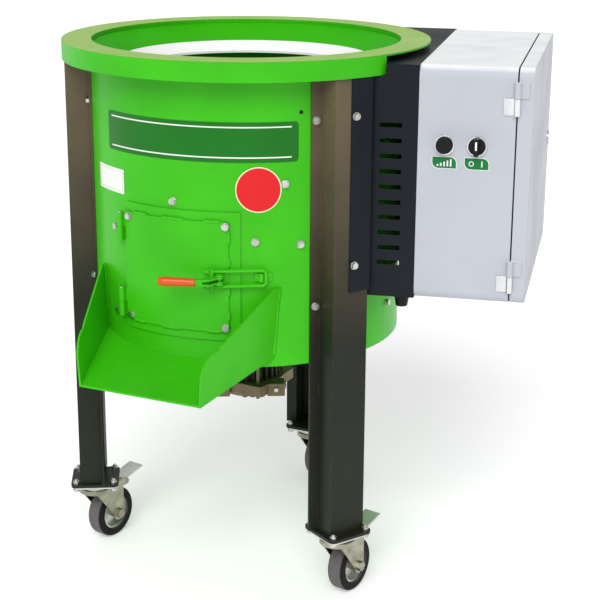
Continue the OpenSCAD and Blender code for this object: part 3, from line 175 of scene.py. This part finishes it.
def tyre_rubber(name):
    """Vulcanised rubber: near black on the side walls, scuffed and dusty grey on the tread that meets the ground."""
    material, tree, shader, place = new_finish(name)
    normal = add_node(tree, "ShaderNodeTexCoord").outputs["Normal"]
    side = add_node(tree, "ShaderNodeVectorMath", {0: normal, 1: WHEEL_AXLE}, operation="DOT_PRODUCT")
    facing = add_node(tree, "ShaderNodeMath", {0: side.outputs["Value"]}, operation="ABSOLUTE")
    tread = add_node(tree, "ShaderNodeMapRange", {0: facing.outputs[0], 1: 0.75, 2: 0.25})
    scuff = add_node(tree, "ShaderNodeTexNoise", {"Vector": place, "Scale": per_metre(6), "Detail": 5})
    veil = add_node(tree, "ShaderNodeMapRange", {0: scuff.outputs[0], 1: 0.25, 2: 0.75, 3: 0.7, 4: 1})
    worn = add_node(tree, "ShaderNodeMath", {0: tread.outputs[0], 1: veil.outputs[0]}, operation="MULTIPLY")
    body = add_node(tree, "ShaderNodeMix", {0: worn.outputs[0], 6: linear("#0D0B0A"), 7: linear("#6A6465")},
                    data_type="RGBA")
    tree.links.new(body.outputs[2], shader.inputs["Base Color"])
    shader.inputs["Roughness"].default_value = 0.72
    shader.inputs["Specular IOR Level"].default_value = 0.25
    bump = add_node(tree, "ShaderNodeBump", {"Strength": 0.3, "Distance": 0.2 * MM, "Height": scuff.outputs[0]})
    tree.links.new(bump.outputs[0], shader.inputs["Normal"])
    return material


def cast_metal(name, colour, shade):
    """Sand-cast iron, only wiped down: a pebbled skin, brownish where oil has dried on it."""
    material, tree, shader, place = new_finish(name)
    oil = add_node(tree, "ShaderNodeTexNoise", {"Vector": place, "Scale": per_metre(40), "Detail": 4})
    body = add_node(tree, "ShaderNodeMix", {0: oil.outputs[0], 6: linear(colour), 7: linear(shade)},
                    data_type="RGBA")
    tree.links.new(body.outputs[2], shader.inputs["Base Color"])
    shader.inputs["Metallic"].default_value = 0.6
    shader.inputs["Roughness"].default_value = 0.55
    sand = add_node(tree, "ShaderNodeTexNoise", {"Vector": place, "Scale": per_metre(2), "Detail": 3})
    bump = add_node(tree, "ShaderNodeBump", {"Strength": 0.4, "Distance": 0.3 * MM, "Height": sand.outputs[0]})
    tree.links.new(bump.outputs[0], shader.inputs["Normal"])
    return material


def printed_vinyl(name, colour, shade):
    """Printed vinyl film stuck to paint: flat ink under a smooth gloss laminate, faintly rippled by its adhesive."""
    material, tree, shader, place = new_finish(name)
    fade = add_node(tree, "ShaderNodeTexNoise", {"Vector": place, "Scale": per_metre(60), "Detail": 2})
    body = add_node(tree, "ShaderNodeMix", {0: fade.outputs[0], 6: linear(colour), 7: linear(shade)},
                    data_type="RGBA")
    tree.links.new(body.outputs[2], shader.inputs["Base Color"])
    shader.inputs["Roughness"].default_value = 0.35
    shader.inputs["Specular IOR Level"].default_value = 0.25
    ripple = add_node(tree, "ShaderNodeTexNoise", {"Vector": place, "Scale": per_metre(14), "Detail": 1})
    bump = add_node(tree, "ShaderNodeBump", {"Strength": 0.08, "Distance": 0.1 * MM, "Height": ripple.outputs[0]})
    tree.links.new(bump.outputs[0], shader.inputs["Normal"])
    return material


green_coat = painted_sheet("gloss_green_powder_coat", "#3EBC13", "#38B011", "#86DB66", 0.34, 3, specular=0.2)
dusty_green_coat = painted_sheet("dusty_green_powder_coat", "#3EBC13", "#38B011", "#86DB66", 0.38, 3, specular=0.2,
                                 veil=("#AAC95C", "tilt", 0.6, 0.95, 0.85))
# The machine's green, made a little darker for the cone down inside the drum: painted shade, with less gloss.
satin_green_coat_painted_shade = painted_sheet("satin_green_powder_coat_painted_shade", "#38B40F", "#33A90D", "#86DB66", 0.5, 3, specular=0.05)
# Brown laid on the legs, heavier towards the top: a painted reflection of the sunlit ground.
olive_coat_painted_reflection = painted_sheet("satin_black_powder_coat_painted_reflection", "#1F2219", "#25281F", "#6E6B60", 0.38, 2, specular=0.2,
                           veil=("#85735A", "height", 0.45, 0.85, 0.6))
slate_coat = painted_sheet("satin_slate_powder_coat", "#15191F", "#1A1F26", "#4C5258", 0.45, 2, specular=0.15)
# Near-white laid on the cabinet's upward faces: a painted highlight where light from above falls on its top.
cabinet_coat_painted_lit_top = painted_sheet("pale_grey_textured_powder_coat_painted_lit_top", "#B9BCC4", "#B3B6BF", "#DCDEE2", 0.42, 1.2,
                             veil=("#FBFFFF", "tilt", 0.5, 0.95, 1))
motor_coat = painted_sheet("black_enamel_on_cast_fins", "#2A2822", "#39362E", "#6B665C", 0.5, 1.5)
bright_zinc = plated_steel("bright_zinc_plate", "#D2D2CE", "#B3B2AA", 0.3, 18)
pale_zinc = plated_steel("pale_passivated_zinc", "#DADBD8", "#C6C6C0", 0.36, 18, metallic=0.75)
straw_zinc = plated_steel("straw_passivated_zinc", "#ADAA9A", "#827F6E", 0.28, 18)
bright_chrome = plated_steel("bright_chrome_plate", "#E4E5E8", "#CFD0D4", 0.16, 40)
bare_steel = plated_steel("scrubbed_bare_steel", "#BDBDB8", "#98958C", 0.36, 30)
white_poly = moulded_plastic("white_polyethylene", "#FFFFFF", "#F9F9F7", 0.38, 2)
grip_vinyl = moulded_plastic("dipped_orange_vinyl", "#DD5410", "#D04A0C", 0.32, 3)
black_abs = moulded_plastic("black_abs", "#0C0B0C", "#121113", 0.4, 0.8, specular=0.22)
grey_abs = moulded_plastic("graphite_abs", "#3C3E42", "#45474B", 0.5, 0.8)
terminal_nylon = moulded_plastic("grey_nylon", "#8E918D", "#9A9C98", 0.5, 1)
gasket_foam = moulded_plastic("black_foam_rubber", "#141414", "#1C1C1C", 0.85, 0.7, specular=0.2)
tyre_black = tyre_rubber("grey_black_tyre_rubber")
bell_casting = cast_metal("sand_cast_iron", "#8F7F66", "#6C5E4A")
banner_ink = printed_vinyl("dark_green_vinyl_film", "#0F7414", "#0B6611")
label_ink = printed_vinyl("mid_green_vinyl_film", "#0E7A3A", "#0B6E33")
white_ink = printed_vinyl("white_vinyl_film", "#F1F3EE", "#E6EAE2")
cream_ink = printed_vinyl("cream_vinyl_film", "#F2E9BE", "#E9DFB2")
red_ink = printed_vinyl("red_vinyl_film", "#DE1E24", "#D2181E")

# The CAD nodes that wear each finish.
FINISHES = {
    dusty_green_coat: "rim_ring",
    satin_green_coat_painted_shade: "splash_cone",
    green_coat: ("drum_shell drum_floor gate_frame hinge_brackets latch_catch discharge_chute"
                 " discharge_gate gate_plug latch_base latch_lever latch_ubolt latch_trunnion latch_nuts"
                 " latch_pivot_pin"),
    olive_coat_painted_reflection: "leg_left leg_right leg_rear foot_plates",
    slate_coat: "support_box",
    cabinet_coat_painted_lit_top: "cabinet_body cabinet_door",
    motor_coat: "motor_body",
    bright_zinc: ("frame_bolts hinge_pins gate_bolts caster_plates rim_left rim_right rim_rear mounting_plate"),
    straw_zinc: "fork_left fork_right fork_rear",
    pale_zinc: "brake_left brake_right brake_rear",
    bright_chrome: "cabinet_lock cabinet_hinges control_switches",
    bare_steel: "scrub_bars motor_shaft rotor_disc rotor_ribs rotor_hub",
    white_poly: "throat_ring",
    grip_vinyl: "latch_grip",
    black_abs: "speed_knob selector_knob cable_gland",
    grey_abs: "inverter",
    terminal_nylon: "terminal_rail",
    gasket_foam: "cabinet_gasket",
    tyre_black: "tyre_left tyre_right tyre_rear",
    bell_casting: "motor_end_bell motor_tie_rods",
}
for finish, node_names in FINISHES.items():
    for node_name in node_names.split():
        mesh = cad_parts[node_name].data
        mesh.materials.clear()
        mesh.materials.append(finish)


def finish_piece(name, bm, finish, body):
    """Makes the shape an object of the finished part that rides on a body."""
    bmesh.ops.recalc_face_normals(bm, faces=bm.faces)
    mesh = bpy.data.meshes.new(name)
    bm.to_mesh(mesh)
    bm.free()
    mesh.materials.append(finish)
    piece = bpy.data.objects.new(name, mesh)
    bpy.context.scene.collection.objects.link(piece)
    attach(piece, body)
    return piece


def flat_sheet(width, height, round_corners=(), corner_r=0, segments=8):
    """A flat sheet about the origin, x along and y up, with the numbered corners rounded; they run anticlockwise
    from the lower left."""
    bm = bmesh.new()
    half_w, half_h = width / 2, height / 2
    corners = [bm.verts.new((x, y, 0)) for x, y in
               ((-half_w, -half_h), (half_w, -half_h), (half_w, half_h), (-half_w, half_h))]
    bm.faces.new(corners)
    if round_corners:
        bmesh.ops.bevel(bm, geom=[corners[i] for i in round_corners], offset=corner_r, affect="VERTICES",
                        segments=segments, profile=0.5, material=-1)
    return bm


def flat_disc(radius, segments=48):
    bm = bmesh.new()
    bmesh.ops.create_circle(bm, cap_ends=True, radius=radius, segments=segments)
    return bm


def thicken(bm, thickness):
    """Raises a flat sheet's faces along z and closes its edge."""
    raised = bmesh.ops.extrude_face_region(bm, geom=bm.faces[:])
    up = [v for v in raised["geom"] if isinstance(v, bmesh.types.BMVert)]
    bmesh.ops.translate(bm, verts=up, vec=(0, 0, thickness))


def wrap_on_drum(bm, angle, height, lift, thickness):
    """Cuts a flat sheet into strips, gives it thickness and bends it round the drum's wall; sizes in mm."""
    reach = max(abs(v.co.x) for v in bm.verts)
    strip = 5
    for i in range(-int(reach // strip), int(reach // strip) + 1):
        bmesh.ops.bisect_plane(bm, geom=bm.verts[:] + bm.edges[:] + bm.faces[:],
                               plane_co=(i * strip, 0, 0), plane_no=(1, 0, 0))
    thicken(bm, thickness)
    for v in bm.verts:
        a = math.radians(angle) + v.co.x / DRUM_R
        r = DRUM_R + lift + v.co.z
        v.co = Vector((r * math.cos(a), r * math.sin(a), height + v.co.y)) * MM


def place_on_cabinet(bm, u, z, lift, thickness):
    """Gives a flat sheet thickness and stands it on the cabinet's front face; sizes in mm."""
    thicken(bm, thickness)
    stand = (Matrix.Rotation(math.radians(CABINET_ANGLE), 4, "Z")
             @ Matrix.Translation((u, -CABINET_FRONT - lift, z))
             @ Matrix.Rotation(math.radians(90), 4, "X"))
    bmesh.ops.transform(bm, matrix=Matrix.Scale(MM, 4) @ stand, verts=bm.verts)


# Films on the drum: a plain banner between two pinstripes, a plain red disc with a cream edge, and a white label
# with a red line round it.
FILM = 0.3
ALL_CORNERS = (0, 1, 2, 3)
BANNER_ANGLE, BANNER_Z = 279.5, 766.5
BANNER_W, BANNER_H, BANNER_CORNER = 335, 61, 6
PINSTRIPE_W, PINSTRIPE_H, PINSTRIPE_RISE = 313, 2, 23
bm = flat_sheet(BANNER_W, BANNER_H, round_corners=ALL_CORNERS, corner_r=BANNER_CORNER)
wrap_on_drum(bm, BANNER_ANGLE, BANNER_Z, FILM, FILM)
finish_piece("banner", bm, banner_ink, "frame")
for side, rise in (("upper", PINSTRIPE_RISE), ("lower", -PINSTRIPE_RISE)):
    bm = flat_sheet(PINSTRIPE_W, PINSTRIPE_H)
    wrap_on_drum(bm, BANNER_ANGLE, BANNER_Z + rise, 2 * FILM, FILM)
    finish_piece(f"banner_{side}_pinstripe", bm, white_ink, "frame")
DISC_ANGLE, DISC_Z = 303.2, 694.2
DISC_R, DISC_EDGE_R = 33.4, 35.3
bm = flat_disc(DISC_EDGE_R)
wrap_on_drum(bm, DISC_ANGLE, DISC_Z, FILM, FILM)
finish_piece("disc_edge", bm, cream_ink, "frame")
bm = flat_disc(DISC_R)
wrap_on_drum(bm, DISC_ANGLE, DISC_Z, 2 * FILM, FILM)
finish_piece("red_disc", bm, red_ink, "frame")
LABEL_ANGLE, LABEL_Z = 242, 687.5
LABEL_W, LABEL_H, LABEL_CORNER = 79, 39, 1.5
LABEL_MARGIN, LABEL_LINE_W = 3.5, 1.2
bm = flat_sheet(LABEL_W, LABEL_H, round_corners=ALL_CORNERS, corner_r=LABEL_CORNER)
wrap_on_drum(bm, LABEL_ANGLE, LABEL_Z, FILM, FILM)
finish_piece("side_label", bm, white_ink, "frame")
bm = flat_sheet(LABEL_W - 2 * LABEL_MARGIN, LABEL_H - 2 * LABEL_MARGIN)
bmesh.ops.inset_region(bm, faces=bm.faces[:], use_boundary=True, use_even_offset=True, thickness=LABEL_LINE_W)
bmesh.ops.delete(bm, geom=[max(bm.faces, key=lambda f: f.calc_area())], context="FACES")
wrap_on_drum(bm, LABEL_ANGLE, LABEL_Z, 2 * FILM, FILM)
finish_piece("side_label_line", bm, red_ink, "frame")

# Black disc over the spare hole beside the banner: painted shade standing for the hole's dark inside.
HOLE_ANGLE, HOLE_Z, HOLE_R = 317.9, 810.5, 3
HOLE_SHADE_LIFT, HOLE_SHADE_T = 0.1, 0.4
bm = flat_disc(HOLE_R, segments=24)
wrap_on_drum(bm, HOLE_ANGLE, HOLE_Z, HOLE_SHADE_LIFT, HOLE_SHADE_T)
finish_piece("spare_hole_painted_shade", bm, black_abs, "frame")

# Leaf labels under the controls, each with a pale border and plain marks.
LEAF_W, LEAF_H, LEAF_R, LEAF_BORDER = 36, 17, 9, 1
LEAF_Z = CONTROL_Z - 27.5
LEAF_LIFT = 0.05
LEAF_CORNERS = (0, 2)
for label, u in (("speed", SPEED_U), ("selector", SELECTOR_U)):
    bm = flat_sheet(LEAF_W + 2 * LEAF_BORDER, LEAF_H + 2 * LEAF_BORDER, round_corners=LEAF_CORNERS,
                    corner_r=LEAF_R + LEAF_BORDER)
    place_on_cabinet(bm, u, LEAF_Z, LEAF_LIFT, FILM)
    finish_piece(label + "_leaf_border", bm, white_ink, "frame")
    bm = flat_sheet(LEAF_W, LEAF_H, round_corners=LEAF_CORNERS, corner_r=LEAF_R)
    place_on_cabinet(bm, u, LEAF_Z, LEAF_LIFT + FILM, FILM)
    finish_piece(label + "_leaf", bm, label_ink, "frame")

# Rising bars on the speed label, and a ring and a stroke on the selector's.
MARK_LIFT = LEAF_LIFT + 2 * FILM
BAR_COUNT, BAR_W, BAR_PITCH = 5, 2.4, 5
BAR_FIRST, BAR_STEP, BAR_FOOT = 3, 2, 5.5
for i in range(BAR_COUNT):
    height = BAR_FIRST + BAR_STEP * i
    bm = flat_sheet(BAR_W, height)
    place_on_cabinet(bm, SPEED_U + BAR_PITCH * (i - (BAR_COUNT - 1) / 2), LEAF_Z - BAR_FOOT + height / 2,
                     MARK_LIFT, FILM)
    finish_piece(f"speed_bar_{i}", bm, white_ink, "frame")
MARK_AWAY = 8
RING_R, RING_LINE_W = 4, 1.3
bm = flat_disc(RING_R, segments=32)
bmesh.ops.inset_region(bm, faces=bm.faces[:], use_boundary=True, use_even_offset=True, thickness=RING_LINE_W)
bmesh.ops.delete(bm, geom=[max(bm.faces, key=lambda f: len(f.verts))], context="FACES")
place_on_cabinet(bm, SELECTOR_U - MARK_AWAY, LEAF_Z, MARK_LIFT, FILM)
finish_piece("selector_off_ring", bm, white_ink, "frame")
STROKE_W, STROKE_H = 1.8, 9
bm = flat_sheet(STROKE_W, STROKE_H)
place_on_cabinet(bm, SELECTOR_U + MARK_AWAY, LEAF_Z, MARK_LIFT, FILM)
finish_piece("selector_on_stroke", bm, white_ink, "frame")

# White index let into the selector's finger bar.
INDEX_W, INDEX_H, INDEX_RISE, INDEX_SUNK = 2.8, 13, 3, 0.1
bm = flat_sheet(INDEX_W, INDEX_H)
place_on_cabinet(bm, SELECTOR_U, CONTROL_Z + INDEX_RISE, SELECTOR_TOP - INDEX_SUNK, FILM)
finish_piece("selector_index", bm, white_ink, "selector_knob")


def weld_run(bm, points, width, height):
    """A row of overlapping ripples through the points on the drum's wall, in mm."""
    for point in points:
        ripple = bmesh.ops.create_icosphere(bm, subdivisions=2, radius=1)["verts"]
        bmesh.ops.scale(bm, verts=ripple, vec=(height / 2, width / 2, width / 2))
        outward = Matrix.Rotation(math.atan2(point.y, point.x), 4, "Z")
        bmesh.ops.transform(bm, matrix=Matrix.Translation(point) @ outward, verts=ripple)


def on_drum(angle, radius, height):
    a = math.radians(angle)
    return Vector((radius * math.cos(a), radius * math.sin(a), height))


# Stitches along the gate's edge, and the beads where the chute's flared cheeks meet the drum.
PITCH = 2.6
STITCH_W, STITCH_H = 5.5, 3.2
BEAD_W, BEAD_H, BEAD_LIFT, BEAD_TURN = 6, 5, 0.8, 0.8
bm = bmesh.new()
low_z, high_z = GATE_HEIGHTS
for height, stitches in ((high_z, ((256.8, 262.2), (269.5, 276.9), (285, 289.6))),
                         (low_z, ((257, 260.6), (269.3, 275.2), (286, 289.8)))):
    for start, end in stitches:
        count = round(math.radians(end - start) * GATE_EDGE_R / PITCH)
        weld_run(bm, [on_drum(start + (end - start) * i / count, GATE_EDGE_R, height) for i in range(count + 1)],
                 STITCH_W, STITCH_H)
for start, end in ((491, 499), (531, 541.5), (576, 585), (613, 630)):
    count = round((end - start) / PITCH)
    weld_run(bm, [on_drum(GATE_EDGE_ANGLE, GATE_EDGE_R, start + (end - start) * i / count)
                  for i in range(count + 1)], STITCH_W, STITCH_H)
bmesh.ops.scale(bm, verts=bm.verts, vec=(MM, MM, MM))
finish_piece("gate_edge_welds", bm, green_coat, "gate")

bm = bmesh.new()
low_z, high_z = CHUTE_HEIGHTS
for side in (-1, 1):
    for i in range(round((high_z - low_z) / PITCH) + 1):
        height = low_z + PITCH * i
        half = CHUTE_HALF + (height - CHUTE_LIP_Z) * math.sin(math.radians(CHEEK_FLARE))
        angle = math.degrees(math.asin(half / DRUM_R)) + BEAD_TURN
        weld_run(bm, [on_drum(CHUTE_ANGLE + side * angle, DRUM_R + BEAD_LIFT, height)], BEAD_W, BEAD_H)
bmesh.ops.scale(bm, verts=bm.verts, vec=(MM, MM, MM))
finish_piece("chute_welds", bm, green_coat, "frame")


def add_block(bm, centre, size):
    """A block of the given size about its centre, in mm."""
    block = bmesh.ops.create_cube(bm, size=1)["verts"]
    bmesh.ops.scale(bm, verts=block, vec=size)
    bmesh.ops.translate(bm, verts=block, vec=centre)


# Square cast shield round the motor's end bell: a lug at each corner, a pair of feet and two bolts on each side.
bell_points = [v.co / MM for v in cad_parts["motor_end_bell"].data.vertices]
BELL_PROUD, BELL_RISE = 4, 1
SHIELD_HALF = max(math.hypot(p.x, p.y) for p in bell_points) - BELL_PROUD
SHIELD_TOP = max(p.z for p in bell_points) - BELL_RISE
SHIELD_TURN = Matrix.Rotation(math.radians(30), 4, "Z")
SHIELD_H, SHIELD_CORNER, CAST_ROUND = 18, 8, 1.5
LUG_W, LUG_PROUD, LUG_DROP = 30, 2, 5
FOOT_W, FOOT_H, FOOT_APART, FOOT_PROUD = 8, 11, 13, 6
SHIELD_BOLT_R, SHIELD_BOLT_H, SHIELD_BOLT_DROP = 4, 3, 10.8
shield_low = SHIELD_TOP - SHIELD_H
lug_at = SHIELD_HALF + LUG_PROUD - LUG_W / 2
bm = flat_sheet(2 * SHIELD_HALF, 2 * SHIELD_HALF, round_corners=ALL_CORNERS, corner_r=SHIELD_CORNER)
thicken(bm, SHIELD_H)
bmesh.ops.translate(bm, verts=bm.verts, vec=(0, 0, shield_low))
bolts = bmesh.new()
for quarter in range(4):
    turn = SHIELD_TURN @ Matrix.Rotation(quarter * math.pi / 2, 4, "Z")
    side = bmesh.new()
    add_block(side, (lug_at, -lug_at, SHIELD_TOP - (SHIELD_H + LUG_DROP) / 2), (LUG_W, LUG_W, SHIELD_H + LUG_DROP))
    for x in (-FOOT_APART / 2, FOOT_APART / 2):
        add_block(side, (x, FOOT_W / 2 - SHIELD_HALF - FOOT_PROUD, shield_low), (FOOT_W, FOOT_W, FOOT_H))
    bmesh.ops.bevel(side, geom=side.edges[:], offset=CAST_ROUND, affect="EDGES", segments=2, profile=0.5, material=-1)
    bmesh.ops.transform(side, matrix=turn, verts=side.verts)
    side_mesh = bpy.data.meshes.new("shield_side")
    side.to_mesh(side_mesh)
    side.free()
    bm.from_mesh(side_mesh)
    bpy.data.meshes.remove(side_mesh)
    for x in (-lug_at, lug_at):
        head = bmesh.ops.create_cone(bolts, cap_ends=True, segments=6, radius1=SHIELD_BOLT_R, radius2=SHIELD_BOLT_R,
                                     depth=2 * SHIELD_BOLT_H)["verts"]
        face = Matrix.Translation((x, -SHIELD_HALF - LUG_PROUD, SHIELD_TOP - SHIELD_BOLT_DROP))
        bmesh.ops.transform(bolts, matrix=turn @ face @ Matrix.Rotation(math.pi / 2, 4, "X"), verts=head)
for name, shape, finish, slot in (("bell_shield", bm, bell_casting, "bell_cast"),
                                  ("bell_shield_bolts", bolts, bright_zinc, "zinc")):
    bmesh.ops.scale(shape, verts=shape.verts, vec=(MM, MM, MM))
    finish_piece(name, shape, finish, "frame")

# Pale floor, even studio light and the photograph's viewpoint, in metres and degrees.
FLOOR_HALF, FLOOR_GLOW = 40, 0.25
SKY_LIGHT, SKY_SHEEN = 0.55, 0.65
SUN_POWER, SUN_SPREAD, SUN_TILT, SUN_TURN = 1.8, 35, 50, 18
LENS_MM, SENSOR_MM, LENS_SHIFT = 90.2, 36, -0.0209
CAMERA_AT = (1.2157, -2.1520, 1.1995)
CAMERA_LOOK = (-0.4410, 0.8511, -0.2848)
CAMERA_ROLL = 0.33
bm = bmesh.new()
bmesh.ops.create_grid(bm, x_segments=1, y_segments=1, size=FLOOR_HALF)
floor_mesh = bpy.data.meshes.new("floor")
bm.to_mesh(floor_mesh)
bm.free()
floor = bpy.data.objects.new("floor", floor_mesh)
bpy.context.scene.collection.objects.link(floor)
floor_paint, _, floor_shader, _ = new_finish("pale_studio_floor")
floor_shader.inputs["Base Color"].default_value = linear("#FFFFFF")
floor_shader.inputs["Roughness"].default_value = 0.9
floor_shader.inputs["Emission Color"].default_value = linear("#FFFFFF")
floor_shader.inputs["Emission Strength"].default_value = FLOOR_GLOW
floor_mesh.materials.append(floor_paint)

world = bpy.data.worlds.new("studio")
bpy.context.scene.world = world
world.use_nodes = True
sky = world.node_tree
sky.nodes.clear()
rays = add_node(sky, "ShaderNodeLightPath")
seen = add_node(sky, "ShaderNodeMath", {0: rays.outputs["Is Camera Ray"], 1: rays.outputs["Is Transmission Ray"]},
                operation="MAXIMUM")
lit = add_node(sky, "ShaderNodeMapRange", {0: rays.outputs["Is Glossy Ray"], 3: SKY_LIGHT, 4: SKY_SHEEN})
level = add_node(sky, "ShaderNodeMath", {0: lit.outputs[0], 1: seen.outputs[0]}, operation="MAXIMUM")
backdrop = add_node(sky, "ShaderNodeBackground", {"Color": linear("#FFFFFF"), "Strength": level.outputs[0]})
add_node(sky, "ShaderNodeOutputWorld", {"Surface": backdrop.outputs[0]})

key = bpy.data.lights.new("key", "SUN")
key.energy = SUN_POWER
key.angle = math.radians(SUN_SPREAD)
key_lamp = bpy.data.objects.new("key", key)
key_lamp.rotation_euler = Euler((math.radians(SUN_TILT), 0, math.radians(SUN_TURN)))
bpy.context.scene.collection.objects.link(key_lamp)

lens = bpy.data.cameras.new("camera")
lens.lens = LENS_MM
lens.sensor_width = SENSOR_MM
lens.shift_y = LENS_SHIFT
camera = bpy.data.objects.new("camera", lens)
camera.location = CAMERA_AT
look = Vector(CAMERA_LOOK).to_track_quat("-Z", "Y").to_matrix().to_4x4()
camera.rotation_euler = (look @ Matrix.Rotation(math.radians(CAMERA_ROLL), 4, "Z")).to_euler()
bpy.context.scene.collection.objects.link(camera)
bpy.context.scene.camera = camera
bpy.context.scene.view_settings.view_transform = "Standard"
